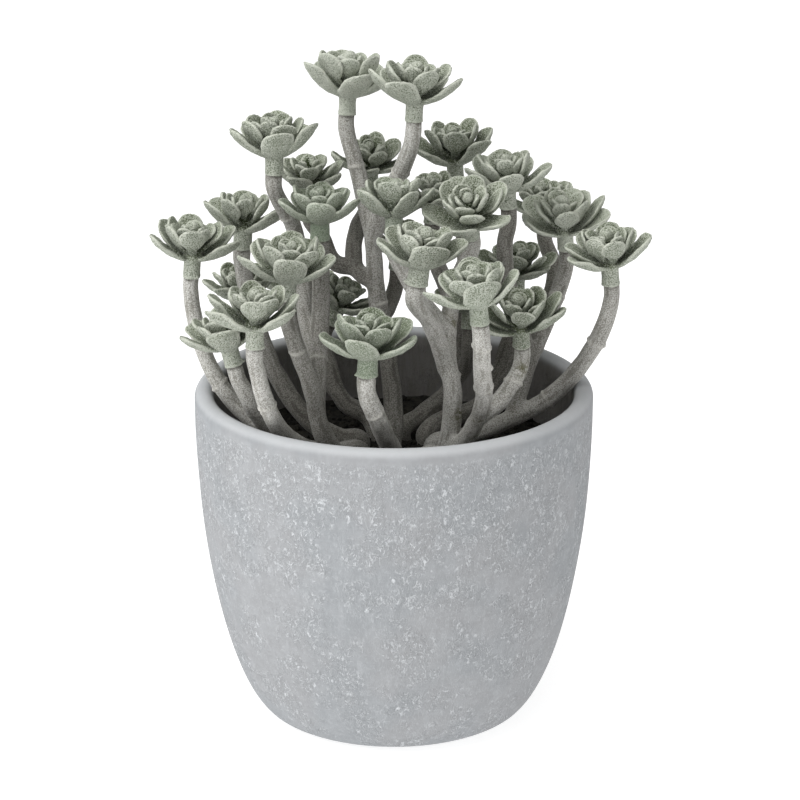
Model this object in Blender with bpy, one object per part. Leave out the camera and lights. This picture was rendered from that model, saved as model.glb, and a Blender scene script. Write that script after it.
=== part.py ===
"""A potted artificial succulent: rosettes of thick petals on forked stems, set in soil in a round pot.

Every length here is in millimetres and every angle in degrees. The origin is the middle of the pot's
underside, +Z is up, and the front of the plant faces -Y.
"""
import math
import random

import bmesh
import bpy
from mathutils import Euler, Matrix, Vector

MM = 0.001
CLEARANCE = 0.3

# Pot: a turned bowl with a flat base, a swelling wall and a rounded rim
POT_RADIUS = 72.5
POT_HEIGHT = 124.0
POT_BASE_RADIUS = 46.0
POT_SWELL_HEIGHT = 112.8
POT_SWELL_POWERS = (1.89, 1.77)
POT_WALL = 7.1
POT_FLOOR = 10.0
POT_EDGE_ROUNDING = 3.5
POT_FOOT_ROUNDING = 1.6
POT_OUTER_HEIGHTS = (8.0, 20.0, 38.0, 62.0, 92.0)
POT_INNER_HEIGHTS = (95.0, 60.0, 30.0)
POT_SIDES = 36

# Soil: fills the pot up to a little below the rim
SOIL_TOP = 97.0
SOIL_EDGE_DROP = 1.0
SOIL_SIDE_HEIGHTS = (30.0, 60.0)
SOIL_SIDES = 18
SOIL_RINGS = (0.75, 0.4)
SOIL_UNEVENNESS = 1.0
SOIL_SEED = 4

# Stems: each tip stands inside its head's collar
STEM_SIDES = 7
STEM_RING_SPACING = 22.0
STEM_TIP_RADIUS = 2.75
STEM_FORK_RADIUS = 3.2
STEM_FOOT_RADIUS = 3.7
STEM_FOOT_DEPTH = 20.0
STEM_FOOT_STRAIGHT = 3.0
FOOT_HOLE_SIDES = 9
FOOT_HOLE_MARGIN = 0.5
NECK = 5.5

# Collars: a sleeve below each rosette, pushed over the stem's tip
COLLAR_SIDES = 10
COLLAR_RADIUS = 3.8
COLLAR_HEIGHT = 6.2
BORE_RADIUS = 3.25
BORE_DEPTH = 4.3
TIP_DEPTH = BORE_DEPTH - CLEARANCE

# Rosettes, drawn at the width that a head of scale 1 has. The petals grow from a lattice of
# diamonds: each layer's roots span three of these rings, given as (radius, height).
ROSETTE_WIDTH = 32.0
PETALS_ROUND = 5
ROOT_RINGS = ((4.3, 6.4), (4.6, 8.4), (4.2, 10.4), (3.6, 12.4), (2.9, 14.4), (2.0, 16.2))
BUD_RING = (1.6, 19.2)
BUD_TOP = 21.4
TIP_SHARE = 0.55
CURL_STEPS = 8

# How much the petals of a head differ: share of the length, rise and turn
ROSETTE_SEED = 60
LENGTH_SPREAD = (0.95, 1.02)
RISE_SPREAD = (-4.0, 4.0)
TURN_SPREAD = (-2.0, 2.0)

# Each petal layer: length, width, rise at the root, curl from root to tip, how deeply it is cupped,
# middle thickness, and its cross sections as (share of the length, share of the width)
PETAL_LAYERS = (
    (14.4, 10.4, 12.0, 34.0, 2.2, 1.5, ((0.45, 0.9), (0.8, 0.96))),
    (12.4, 8.8, 38.0, 18.0, 1.3, 1.4, ((0.62, 1.0),)),
    (9.8, 6.0, 52.0, 16.0, 0.8, 1.3, ((0.62, 1.0),)),
    (7.2, 3.6, 68.0, 12.0, 0.3, 1.1, ((0.6, 1.0),)),
)

# Heads: the middle of the collar's foot, lean to the right, lean to the front, width across, and the way
# that the first outer petal points, turned from +X towards +Y
HEADS = {
    1: ((-17, 29, 217), 4, -4, 34, 59),
    2: ((7, 5, 220), 3, 0, 33, 46),
    3: ((-42, -4, 203), 0, 0, 33, 52),
    4: ((-31, 28, 184), 0, 4, 26, 30),
    5: ((-9, 46, 186), 0, 12, 28, 46),
    6: ((23, 47, 188), -4, 4, 31, 10),
    7: ((41, 11, 187), -4, 4, 31, 57),
    8: ((-26, -10, 181), 0, 2, 29, 49),
    9: ((0, -15, 184), 0, -6, 28, 19),
    10: ((27, -9, 182), -4, 30, 28, 34),
    11: ((-55, 14, 171), 3, 0, 29, 1),
    12: ((-72, -6, 166), 4, 0, 31, 18),
    13: ((63, 24, 168), -5, 18, 34, 34),
    14: ((77, -8, 164), -5, 6, 32, 14),
    15: ((-37, -30, 165), 3, 4, 33, 54),
    16: ((10, -39, 173), 2, 3, 32, 7),
    17: ((29, -59, 165), -6, 2, 31, 54),
    18: ((-47, -54, 155), 0, 0, 33, 18),
    19: ((46, 42, 146), 0, 4, 29, 12),
    20: ((45, -21, 145), -4, 12, 32, 32),
    21: ((-56, -30, 141), -14, 2, 30, 46),
    22: ((-9, -54, 145), 2, 0, 34, 36),
    23: ((-24, 28, 138), 28, -4, 27, 20),
    24: ((14, 21, 179), 0, 4, 26, 5),
    25: ((57, 56, 167), -4, 6, 28, 50),
    26: ((1, 32, 158), 3, 0, 26, 15),
    27: ((-36, 52, 136), -4, -4, 27, 40),
    28: ((-56, 31, 141), -6, 0, 27, 25),
    29: ((28, 23, 138), 0, -4, 26, 60),
}

# Stem clumps: where each one enters the soil, then its stems. A stem has the head that it ends in, the
# point inside an earlier stem that it forks from (None for the soil), and the points that it bends through.
CLUMPS = {
    "stem_left": ((-13, -5), (
        (18, None, ((-19, -11, 106), (-31, -22, 108), (-38, -36, 117), (-43, -49, 131))),
        (12, (-31, -22, 108), ((-44, -19, 112), (-60, -14, 125), (-69, -9, 142))),
        (21, (-45, -18, 112), ((-50, -27, 125), (-53, -29, 132))),
    )),
    "stem_left_back": ((-13, 6), (
        (11, None, ((-18, 3, 105), (-32, 2, 110), (-43, 7, 125), (-50, 12, 142))),
        (28, (-45, 9, 129), ((-50, 21, 133),)),
    )),
    "stem_left_front": ((-12, -17), (
        (8, None, ((-21, -22, 107), (-27, -26, 120), (-27, -21, 136), (-26, -11, 155))),
        (15, (-27, -26, 120), ((-29, -28, 132), (-34, -29, 147))),
        (3, (-27, -19, 140), ((-31, -8, 150), (-33, 3, 164), (-36, 4, 182))),
    )),
    "stem_centre": ((-1, 1), (
        (1, None, ((0, 2, 109), (-2, 8, 130), (-6, 13, 152), (-8, 17, 174), (-13, 25, 196))),
        (2, (-8, 16, 172), ((-4, 14, 188), (3, 9, 202))),
        (5, (-7, 14, 158), ((-14, 20, 162), (-14, 35, 172))),
        (4, (-14, 20, 162), ((-22, 21, 164), (-27, 25, 173))),
        (26, (-5, 12, 145), ((-2, 22, 147),)),
    )),
    "stem_front": ((-1, -15), (
        (22, None, ((0, -21, 107), (-3, -38, 117), (-6, -50, 129))),
    )),
    "stem_front_right": ((12, -11), (
        (10, None, ((19, -17, 107), (21, -20, 125), (19, -17, 142), (21, -9, 160))),
        (16, (19, -18, 138), ((14, -31, 151), (12, -37, 161))),
        (9, (20, -15, 147), ((11, -17, 159), (4, -16, 170))),
        (24, (21, -10, 158), ((18, 3, 162), (15, 16, 167))),
        (17, (20, -18, 112), ((28, -27, 115), (31, -39, 130), (30, -52, 148))),
        (20, (30, -34, 123), ((37, -29, 127), (43, -23, 134))),
    )),
    "stem_right": ((15, 2), (
        (14, None, ((21, 1, 105), (42, 3, 110), (56, 3, 117), (66, -1, 129), (74, -6, 145))),
        (13, (43, 3, 110), ((48, 10, 124), (55, 18, 139), (61, 24, 153))),
        (7, (50, 12, 128), ((46, 12, 142), (41, 12, 160), (40, 11, 174))),
    )),
    "stem_right_back": ((12, 13), (
        (19, None, ((18, 20, 107), (34, 29, 112), (43, 38, 127))),
        (25, (37, 32, 115), ((48, 37, 123), (57, 45, 138), (61, 52, 152))),
    )),
    "stem_back": ((3, 18), (
        (6, None, ((11, 25, 106), (23, 36, 113), (27, 46, 138), (26, 48, 168))),
        (29, (21, 34, 112), ((27, 28, 122),)),
    )),
    "stem_mid_back": ((-7, 16), (
        (23, None, ((-10, 18, 105), (-19, 18, 111), (-24, 22, 123))),
        (27, (-22, 19, 115), ((-29, 34, 120), (-34, 48, 125))),
    )),
}


def srgb(red, green, blue):
    """A 0-255 sRGB colour as the linear colour that a shader takes."""
    def linear(value):
        share = value / 255
        return share / 12.92 if share <= 0.04045 else ((share + 0.055) / 1.055) ** 2.4
    return (linear(red), linear(green), linear(blue), 1.0)


def material(name, colour, roughness):
    made = bpy.data.materials.new(name)
    made.use_nodes = True
    shader = made.node_tree.nodes["Principled BSDF"]
    shader.inputs["Base Color"].default_value = colour
    shader.inputs["Roughness"].default_value = roughness
    shader.inputs["Metallic"].default_value = 0.0
    return made


def new_mesh(name, points, faces, finish=None):
    """A mesh of flat triangles from points in millimetres, its faces turned outward."""
    mesh = bpy.data.meshes.new(name)
    mesh.from_pydata([Vector(point) * MM for point in points], [], faces)
    shaped = bmesh.new()
    shaped.from_mesh(mesh)
    bmesh.ops.triangulate(shaped, faces=shaped.faces)
    bmesh.ops.recalc_face_normals(shaped, faces=shaped.faces)
    shaped.to_mesh(mesh)
    shaped.free()
    if finish:
        mesh.materials.append(finish)
    return mesh


def new_object(name, mesh):
    made = bpy.data.objects.new(name, mesh)
    bpy.context.scene.collection.objects.link(made)
    return made


def shade_round(mesh, angle):
    mesh.shade_smooth()
    mesh.set_sharp_from_angle(angle=math.radians(angle))


def new_tools(name):
    """A collection for the objects that one Boolean joins or cuts with."""
    tools = bpy.data.collections.new(name)
    bpy.context.scene.collection.children.link(tools)
    return tools


def boolean(target, tools, operation):
    """Joins or cuts target with a collection's objects, applies it and removes them."""
    change = target.modifiers.new(operation.title(), "BOOLEAN")
    change.operation = operation
    change.solver = "EXACT"
    change.operand_type = "COLLECTION"
    change.collection = tools
    seen = target.evaluated_get(bpy.context.evaluated_depsgraph_get())
    result = bpy.data.meshes.new_from_object(seen)
    target.modifiers.remove(change)
    target.data = result
    for item in list(tools.objects):
        bpy.data.objects.remove(item)
    bpy.data.collections.remove(tools)


def loft(rings, closed_ends=True):
    """Faces that join rings of equal counts, each with its points in order round the axis."""
    count = len(rings[0])
    points = [point for ring in rings for point in ring]
    faces = []
    for ring in range(len(rings) - 1):
        low, high = ring * count, (ring + 1) * count
        for side in range(count):
            following = (side + 1) % count
            faces.append((low + side, low + following, high + following, high + side))
    if closed_ends:
        faces.append(tuple(reversed(range(count))))
        faces.append(tuple(range(len(points) - count, len(points))))
    return points, faces


def circle(radius, height, sides):
    turns = [2 * math.pi * side / sides for side in range(sides)]
    return [(radius * math.cos(turn), radius * math.sin(turn), height) for turn in turns]


def turned(outline, sides):
    """A body turned round Z from an outline of (radius, height) pairs."""
    return loft([circle(radius, height, sides) for radius, height in outline])


def pot_wall_radius(height):
    """The pot's outer radius: it swells from the base and is upright from the swell height on."""
    up, out = POT_SWELL_POWERS
    left = max(0.0, 1 - height / POT_SWELL_HEIGHT)
    return POT_BASE_RADIUS + (POT_RADIUS - POT_BASE_RADIUS) * (1 - left ** up) ** (1 / out)


def pot_inner_radius(height):
    return pot_wall_radius(height) - POT_WALL


def arc(centre, radius, start, end, steps):
    """Points on an arc in the (radius, height) plane, both ends included."""
    angles = [math.radians(start + (end - start) * step / steps) for step in range(steps + 1)]
    return [(centre[0] + radius * math.cos(a), centre[1] + radius * math.sin(a)) for a in angles]


def build_pot(finish):
    edge = POT_EDGE_ROUNDING
    foot = POT_FOOT_ROUNDING
    outline = [(POT_BASE_RADIUS - foot, 0.0), (pot_wall_radius(foot), foot)]
    outline += [(pot_wall_radius(height), height) for height in POT_OUTER_HEIGHTS]
    outline += arc((POT_RADIUS - edge, POT_HEIGHT - edge), edge, 0, 180, 4)
    outline += [(pot_inner_radius(height), height) for height in (*POT_INNER_HEIGHTS, POT_FLOOR)]
    mesh = new_mesh("pot", *turned(outline, POT_SIDES), finish)
    shade_round(mesh, 60)
    return new_object("pot", mesh)


def build_soil(finish):
    """The soil's side follows the pot's inside, and its top is a little uneven."""
    draw = random.Random(SOIL_SEED)
    heights = (POT_FLOOR + CLEARANCE, *SOIL_SIDE_HEIGHTS, SOIL_TOP - SOIL_EDGE_DROP)
    outline = [(pot_inner_radius(height) - CLEARANCE, height) for height in heights]
    rings = [circle(radius, height, SOIL_SIDES) for radius, height in outline]
    edge = outline[-1][0]
    for share in SOIL_RINGS:
        rings.append([
            (x, y, SOIL_TOP + draw.uniform(-SOIL_UNEVENNESS, SOIL_UNEVENNESS))
            for x, y, _ in circle(edge * share, SOIL_TOP, SOIL_SIDES)
        ])
    mesh = new_mesh("soil", *loft(rings), finish)
    soil = new_object("soil", mesh)
    holes = new_tools("foot holes")
    reach = (STEM_FOOT_RADIUS + FOOT_HOLE_MARGIN) / math.cos(math.pi / FOOT_HOLE_SIDES)
    bottom = SOIL_TOP - STEM_FOOT_DEPTH - CLEARANCE
    for name, (foot, _) in CLUMPS.items():
        points, faces = turned([(reach, bottom), (reach, POT_HEIGHT)], FOOT_HOLE_SIDES)
        points = [(x + foot[0], y + foot[1], z) for x, y, z in points]
        holes.objects.link(bpy.data.objects.new(f"{name} hole", new_mesh(f"{name} hole", points, faces)))
    boolean(soil, holes, "DIFFERENCE")
    shade_round(soil.data, 40)
    return soil


def head_axis(number):
    """The way a head points: up, leaning to the right and to the front."""
    _, right, front, _, _ = HEADS[number]
    return Vector((math.sin(math.radians(right)), -math.sin(math.radians(front)), 1)).normalized()


def smooth_route(points, spacing):
    """A smooth curve through the points, cut into steps of about the given length."""
    points = [Vector(point) for point in points]
    padded = [2 * points[0] - points[1], *points, 2 * points[-1] - points[-2]]
    headings = [(after - before).normalized() for before, after in zip(padded, padded[2:])]
    route = []
    for start, end, leaving, arriving in zip(points, points[1:], headings, headings[1:]):
        reach = (end - start).length
        steps = max(1, round(reach / spacing))
        for step in range(steps):
            t = step / steps
            route.append(
                start * (2 * t ** 3 - 3 * t ** 2 + 1) + leaving * reach * (t ** 3 - 2 * t ** 2 + t)
                + end * (3 * t ** 2 - 2 * t ** 3) + arriving * reach * (t ** 3 - t ** 2)
            )
    route.append(points[-1])
    return route


def ring_frames(route):
    """At each point of a route, two directions across it, turned as little as possible along it."""
    frames = []
    side = Vector((1, 0, 0))
    for index, point in enumerate(route):
        along = (route[min(index + 1, len(route) - 1)] - route[max(index - 1, 0)]).normalized()
        side = (side - along * side.dot(along)).normalized()
        frames.append((point, side, along.cross(side)))
    return frames


def tube(route, start_radius, end_radius):
    """A stem's rings along its route, evenly tapered."""
    frames = ring_frames(route)
    rings = []
    for index, (point, side, across) in enumerate(frames):
        radius = start_radius + (end_radius - start_radius) * index / (len(frames) - 1)
        turns = [2 * math.pi * step / STEM_SIDES for step in range(STEM_SIDES)]
        rings.append([point + radius * (side * math.cos(t) + across * math.sin(t)) for t in turns])
    return loft(rings)


def build_stem(foot, number, fork, bends):
    """One stem of a clump, from the soil or from its fork up into its head's collar."""
    axis = head_axis(number)
    seam = Vector(HEADS[number][0])
    if fork is None:
        straight = STEM_FOOT_STRAIGHT
        heights = (SOIL_TOP - STEM_FOOT_DEPTH, SOIL_TOP - straight, SOIL_TOP + straight)
        start = [(*foot, height) for height in heights]
        radius = STEM_FOOT_RADIUS
    else:
        start = [fork]
        radius = STEM_FORK_RADIUS
    route = smooth_route([*start, *bends, seam - axis * NECK, seam + axis * TIP_DEPTH], STEM_RING_SPACING)
    return new_mesh("stem", *tube(route, radius, STEM_TIP_RADIUS))


def build_clump(name, foot, stems, finish):
    """A clump of forked stems fused into one body."""
    forks = new_tools(f"{name} forks")
    (number, fork, bends), *others = stems
    clump = new_object(name, build_stem(foot, number, fork, bends))
    for number, fork, bends in others:
        forks.objects.link(bpy.data.objects.new(f"fork {number}", build_stem(foot, number, fork, bends)))
    boolean(clump, forks, "UNION")
    clump.data.name = name
    clump.data.materials.clear()
    clump.data.materials.append(finish)
    shade_round(clump.data, 50)
    return clump


def petal_sections(root, azimuth, layer, scale, draw):
    """A petal's cross sections beyond its root, each as bottom, right, top and left, then its tip."""
    length, width, rise, curl, cup, thickness, sections = layer
    length *= scale * draw.uniform(*LENGTH_SPREAD)
    width *= scale
    cup *= scale
    rise += draw.uniform(*RISE_SPREAD)
    turn = Matrix.Rotation(math.radians(azimuth + draw.uniform(*TURN_SPREAD)), 3, "Z")

    def on_curl(share):
        """Place and upward direction on the middle line, whose slope grows evenly along it."""
        place = Vector(root)
        for step in range(CURL_STEPS):
            angle = math.radians(rise + curl * share * (step + 0.5) / CURL_STEPS)
            place += Vector((math.cos(angle), 0, math.sin(angle))) * length * share / CURL_STEPS
        angle = math.radians(rise + curl * share)
        return place, Vector((-math.sin(angle), 0, math.cos(angle)))

    points = []
    for along, across in sections:
        place, up = on_curl(along)
        half = Vector((0, width * across / 2, 0))
        lifted = place + up * cup * across
        points += [place - up * thickness / 2, lifted + half, place + up * thickness / 2, lifted - half]
    place, up = on_curl(1.0)
    half = Vector((0, width * TIP_SHARE / 2, 0))
    lifted = place + up * cup * TIP_SHARE
    points += [lifted + half, lifted - half]
    return [turn @ point for point in points]


def petal_faces(root, first, sections):
    """Faces of a petal from the four corners of its root, through its sections, to its tip's edge."""
    faces = []
    ring = list(root)
    for section in range(sections):
        following = [first + 4 * section + corner for corner in range(4)]
        for corner in range(4):
            beside = (corner + 1) % 4
            faces.append((ring[corner], ring[beside], following[beside], following[corner]))
        ring = following
    bottom, right, top, left = ring
    tip_right, tip_left = first + 4 * sections, first + 4 * sections + 1
    faces += [
        (bottom, right, tip_right), (bottom, tip_right, tip_left), (bottom, tip_left, left),
        (top, tip_right, right), (top, tip_left, tip_right), (top, left, tip_left),
    ]
    return faces


def build_rosette(number, finish):
    """A head as one body: the collar's sleeve, the petals in their layers and the bud."""
    seam, _, _, width, first_turn = HEADS[number]
    scale = width / ROSETTE_WIDTH
    draw = random.Random(ROSETTE_SEED + number)
    step = 360 / PETALS_ROUND

    sleeve = [(BORE_RADIUS, BORE_DEPTH), (BORE_RADIUS, 0), (COLLAR_RADIUS, 0), (COLLAR_RADIUS, COLLAR_HEIGHT)]
    points, faces = loft([circle(radius, height, COLLAR_SIDES) for radius, height in sleeve], False)
    faces.append(tuple(reversed(range(COLLAR_SIDES))))
    collar_top = [len(points) - COLLAR_SIDES + side for side in range(COLLAR_SIDES)]

    lattice = []
    for index, (radius, height) in enumerate(ROOT_RINGS):
        ring = []
        for petal in range(PETALS_ROUND):
            turn = math.radians(step * (petal + 0.5 * (index % 2)))
            ring.append(len(points))
            points.append((radius * math.cos(turn), radius * math.sin(turn), height))
        lattice.append(ring)

    for index, layer in enumerate(PETAL_LAYERS):
        odd = index % 2
        low, middle, high = lattice[index:index + 3]
        radius, height = ROOT_RINGS[index + 1]
        root = (radius * math.cos(math.radians(step / 2)), 0, height)
        for petal in range(PETALS_ROUND):
            left, right = middle[(petal - 1 + odd) % PETALS_ROUND], middle[(petal + odd) % PETALS_ROUND]
            corners = (low[petal], right, high[petal], left)
            first = len(points)
            points += petal_sections(root, step * (petal + 0.5 * odd), layer, scale, draw)
            faces += petal_faces(corners, first, len(layer[-1]))

    def zigzag(lower, upper):
        return [corner for pair in zip(lattice[lower], lattice[upper]) for corner in pair]

    def strip(lower, upper):
        count = len(lower)
        return [(lower[i], lower[(i + 1) % count], upper[(i + 1) % count], upper[i]) for i in range(count)]

    faces += strip(collar_top, zigzag(0, 1))
    bud_base = zigzag(-2, -1)
    bud = list(range(len(points), len(points) + PETALS_ROUND))
    points += circle(*BUD_RING, PETALS_ROUND)
    top = len(points)
    points.append((0, 0, BUD_TOP))
    for side in range(PETALS_ROUND):
        beside = (side + 1) % PETALS_ROUND
        valley = bud_base[2 * side + 1]
        faces += [
            (bud_base[2 * side], valley, bud[side]), (valley, bud[beside], bud[side]),
            (valley, bud_base[2 * beside], bud[beside]), (bud[side], bud[beside], top),
        ]

    mesh = new_mesh(f"rosette_{number:02d}", points, faces, finish)
    shade_round(mesh, 35)
    head = new_object(f"rosette_{number:02d}", mesh)
    head.location = Vector(seam) * MM
    upright = Euler((0, 0, math.radians(first_turn))).to_quaternion()
    turn = Vector((0, 0, 1)).rotation_difference(head_axis(number)) @ upright
    head.rotation_euler = turn.to_euler()
    return head


def clear_scene():
    for item in list(bpy.data.objects):
        bpy.data.objects.remove(item)


def build():
    clear_scene()
    plaster = material("grey plaster", srgb(172, 174, 177), 0.85)
    earth = material("dark soil", srgb(28, 29, 26), 0.95)
    bark = material("grey flocked stem", srgb(178, 175, 167), 0.9)
    leaf = material("sage flocked petal", srgb(172, 180, 166), 0.9)
    build_pot(plaster)
    build_soil(earth)
    for name, (foot, stems) in CLUMPS.items():
        build_clump(name, foot, stems, bark)
    for number in HEADS:
        build_rosette(number, leaf)


build()
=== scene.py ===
"""The looks of a potted artificial succulent: flocked rosettes on forked stems, in a grey plaster pot.

Lengths here are in millimetres and angles in degrees, unless a name says otherwise, and MM turns them into
Blender's metres. +Z is up and the camera stands in front of the plant, at -Y.
"""
import random
from collections import namedtuple
from math import cos, pi, radians, sin, sqrt, tan

import bpy
import numpy as np
from mathutils import Euler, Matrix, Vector, noise


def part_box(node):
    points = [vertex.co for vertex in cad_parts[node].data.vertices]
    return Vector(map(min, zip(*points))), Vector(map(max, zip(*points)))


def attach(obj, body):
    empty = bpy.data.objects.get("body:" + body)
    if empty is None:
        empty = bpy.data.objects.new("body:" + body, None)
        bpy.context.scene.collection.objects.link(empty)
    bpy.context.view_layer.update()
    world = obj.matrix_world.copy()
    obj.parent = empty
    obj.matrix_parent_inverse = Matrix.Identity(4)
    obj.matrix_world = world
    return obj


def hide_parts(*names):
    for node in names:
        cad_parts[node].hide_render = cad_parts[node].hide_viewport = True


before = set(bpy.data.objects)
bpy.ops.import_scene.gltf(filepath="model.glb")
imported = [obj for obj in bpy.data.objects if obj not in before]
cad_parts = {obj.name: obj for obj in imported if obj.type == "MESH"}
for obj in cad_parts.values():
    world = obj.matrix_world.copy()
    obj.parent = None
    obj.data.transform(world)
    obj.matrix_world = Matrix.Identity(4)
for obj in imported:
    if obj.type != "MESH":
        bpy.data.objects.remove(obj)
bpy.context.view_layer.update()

MM = 0.001

# The photograph's camera
CAMERA_TARGET = (2.15, 0.0, 117.6)
CAMERA_ELEVATION = 19.1
CAMERA_DISTANCE = 911.0
CAMERA_LENS = 112.5

# Pot, whose main sizes are read from the frame
_, POT_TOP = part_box("pot")
POT_RADIUS = POT_TOP.x / MM
POT_HEIGHT = POT_TOP.z / MM
POT_BASE_RADIUS = 46.0
POT_SWELL_HEIGHT = 112.8
POT_SWELL_POWERS = (1.89, 1.77)
POT_WALL = 7.1
POT_FLOOR = 10.0
POT_EDGE = 3.5  # radius of the rim's rounding
POT_FOOT = 1.6  # radius of the foot's rounding
POT_SIDES = 180
POT_OUTER_ROWS = 72
POT_INNER_ROWS = 40
POT_WAVER = 0.16
# A small pit in the wall, painted dark as the shade in it; the wall has no dent there
PIT_PLACE = (61.0, -34.5, 84.0)

# Bands of height on the pot, over which the smooth rim starts, the crackle ends and it grows denser. The
# rim's top is painted paler: partly its smoother plaster, partly a painted highlight.
RIM_BAND = (121.0, 123.2)
CRACKLE_END_BAND = (116.5, 120.5)
CRACKLE_RISE_BAND = (50.0, 100.0)

# Soil: a crumbly bed with loose grains on it
SOIL_LEVEL = 97.0
SOIL_SETTLING = 0.4
SOIL_GAP = 0.3
SOIL_GRID = 0.9
SOIL_SIDES = 220
SOIL_BOTTOM = 60.0
SOIL_CRUMBS = 1300
SOIL_SEED = 11
CRUMB_SMALLEST = 0.35
CRUMB_SPREAD = 1.1
CRUMB_EDGE_GAP = 2.0

# Stems
STEM_TIP_RADIUS = 2.8
TIP_RADII = {22: 3.2, 16: 3.3, 8: 3.1, 11: 3.1, 17: 2.9, 10: 3.0, 3: 2.9, 13: 2.7, 12: 2.7, 20: 2.7}
STEM_FORK_RADIUS = 3.2
STEM_FOOT_RADIUS = 3.7
STEM_SPACING = 1.0
STEM_SIDES = 18
STEM_VOXEL = 0.56
STEM_FOOT_DEPTH = 20.0
STEM_FOOT_STRAIGHT = 3.0
STEM_SMOOTHING = 14
STEM_BATCH = 4000
RING_SEED = 300
NECK = 5.5
TIP_DEPTH = 4.0

# The shade between the stems ends over these heights, depths behind its front and distances to the sides.
SHADE_HEIGHTS = (125, 180)
SHADE_DEPTHS = (-10, 24)
SHADE_SIDES = (34, 70)

# Flock: the size of its grains in colour and in relief, and how densely it covers a plain place
GRAIN_SIZE = 0.42
GRAIN_RELIEF_SIZE = 0.55
FLOCK_COVER = 0.6

# Petals at scale 1, by layer. A petal rises at its root and curls from there to its tip. The base is how
# wide its waist is, as a share of its own width, and the waist is where along it the waist ends.
Layer = namedtuple("Layer", "root_radius root_height length width rise curl cup thickness base waist")
ROSETTE_WIDTH = 32.0
ROSETTE_SEED = 60
SHAPE_SEED = 900
PETAL_ROWS = 15
PETAL_SIDES = 18
PETAL_STEPS = 40
PETAL_FUZZ = 0.14
PETAL_LAYERS = (
    Layer(3.0, 7.0, 16.8, 11.0, 10.0, 40.0, 1.8, 1.6, 0.6, 0.0),
    Layer(2.2, 9.2, 13.8, 9.0, 27.0, 40.0, 0.9, 1.6, 0.36, 0.38),
    Layer(1.8, 12.2, 9.4, 6.8, 35.0, 36.0, 0.6, 1.5, 0.36, 0.3),
    Layer(1.2, 14.2, 6.2, 4.8, 44.0, 36.0, 0.4, 1.4, 0.4, 0.2),
)
LAYER_PETALS = (5, 5, 5, 3)

# A head's petals and knob stand above this height, and their height over it follows the head's scale.
STACK_FOOT = 6.2

# A petal that stands more than this many degrees steeper than its layer is also shorter and broader, and
# its waist is wider, by these shares for each further degree.
STEEP_LIFT = 14
STEEP_CHANGE = 0.025
STEEP_WAIST = 0.02

# The closed bud
KNOB_RADIUS = 2.1
KNOB_HEIGHT = 18.2
KNOB_STRETCH = 1.2

# The head's middle as an outline of radius and height: the bore, the lip, the collar and the petals' base
COLLAR_OUTLINE = (
    (3.0, 4.2), (3.0, 0.3), (3.2, 0.0), (3.5, -0.05), (3.7, 0.15), (3.72, 0.5), (3.58, 0.9), (3.48, 1.5),
    (3.42, 2.4), (3.4, 3.4), (3.4, 4.4), (3.4, 5.4), (3.45, 6.2), (3.7, 6.9), (3.7, 7.6), (3.4, 8.6),
    (3.0, 10.0), (2.6, 11.6), (2.2, 13.4), (1.8, 15.2), (1.2, 16.8), (0.3, 17.6),
)
COLLAR_SIDES = 40
COLLAR_OUTLINE_RADIUS = 3.4
COLLAR_MARGIN = 0.3

# Heads: the middle of the collar's foot, lean to the right, lean to the front, width across, and the way
# that the first outer petal points, turned from +X towards +Y
Head = namedtuple("Head", "seam right front width first_turn")
HEADS = {
    1: Head((-17, 29, 217), 2, -4, 37, 59),
    2: Head((7, 5, 220), 3, 0, 34, 46),
    3: Head((-42, -4, 203), 0, 0, 33, 52),
    4: Head((-31, 28, 184), 0, 4, 26, 30),
    5: Head((-9, 46, 186), 0, 12, 28, 46),
    6: Head((23, 47, 188), -4, 4, 34, 10),
    7: Head((41, 11, 187), -4, 4, 31, 57),
    8: Head((-26, -10, 181), 0, 2, 29, 49),
    9: Head((0, -15, 184), 0, -6, 30, 19),
    10: Head((27, -9, 182), -4, 30, 31, 34),
    11: Head((-55, 14, 171), 3, 0, 31, 1),
    12: Head((-72, -6, 166), 4, 0, 32, 18),
    13: Head((63, 24, 168), -5, 12, 34, 34),
    14: Head((77, -8, 164), -5, 6, 32, 14),
    15: Head((-37, -30, 165), 3, 4, 35, 54),
    16: Head((8, -39, 173), 8, 3, 32, 7),
    17: Head((29, -59, 165), -6, 2, 33, 54),
    18: Head((-47, -54, 155), 0, 0, 33, 18),
    19: Head((46, 42, 146), 0, 4, 29, 12),
    20: Head((45, -21, 145), -4, 12, 32, 32),
    21: Head((-56, -30, 141), -14, 2, 30, 46),
    22: Head((-9, -54, 145), 2, 0, 35, 36),
    23: Head((-24, 28, 138), 28, -4, 27, 20),
    24: Head((14, 21, 179), 0, 4, 26, 5),
    25: Head((57, 56, 167), -4, 6, 28, 50),
    26: Head((1, 32, 158), 3, 0, 26, 15),
    27: Head((-36, 52, 136), -4, -4, 27, 40),
    28: Head((-56, 31, 141), -6, 0, 27, 25),
    29: Head((28, 23, 138), 0, -4, 26, 60),
}

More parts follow.
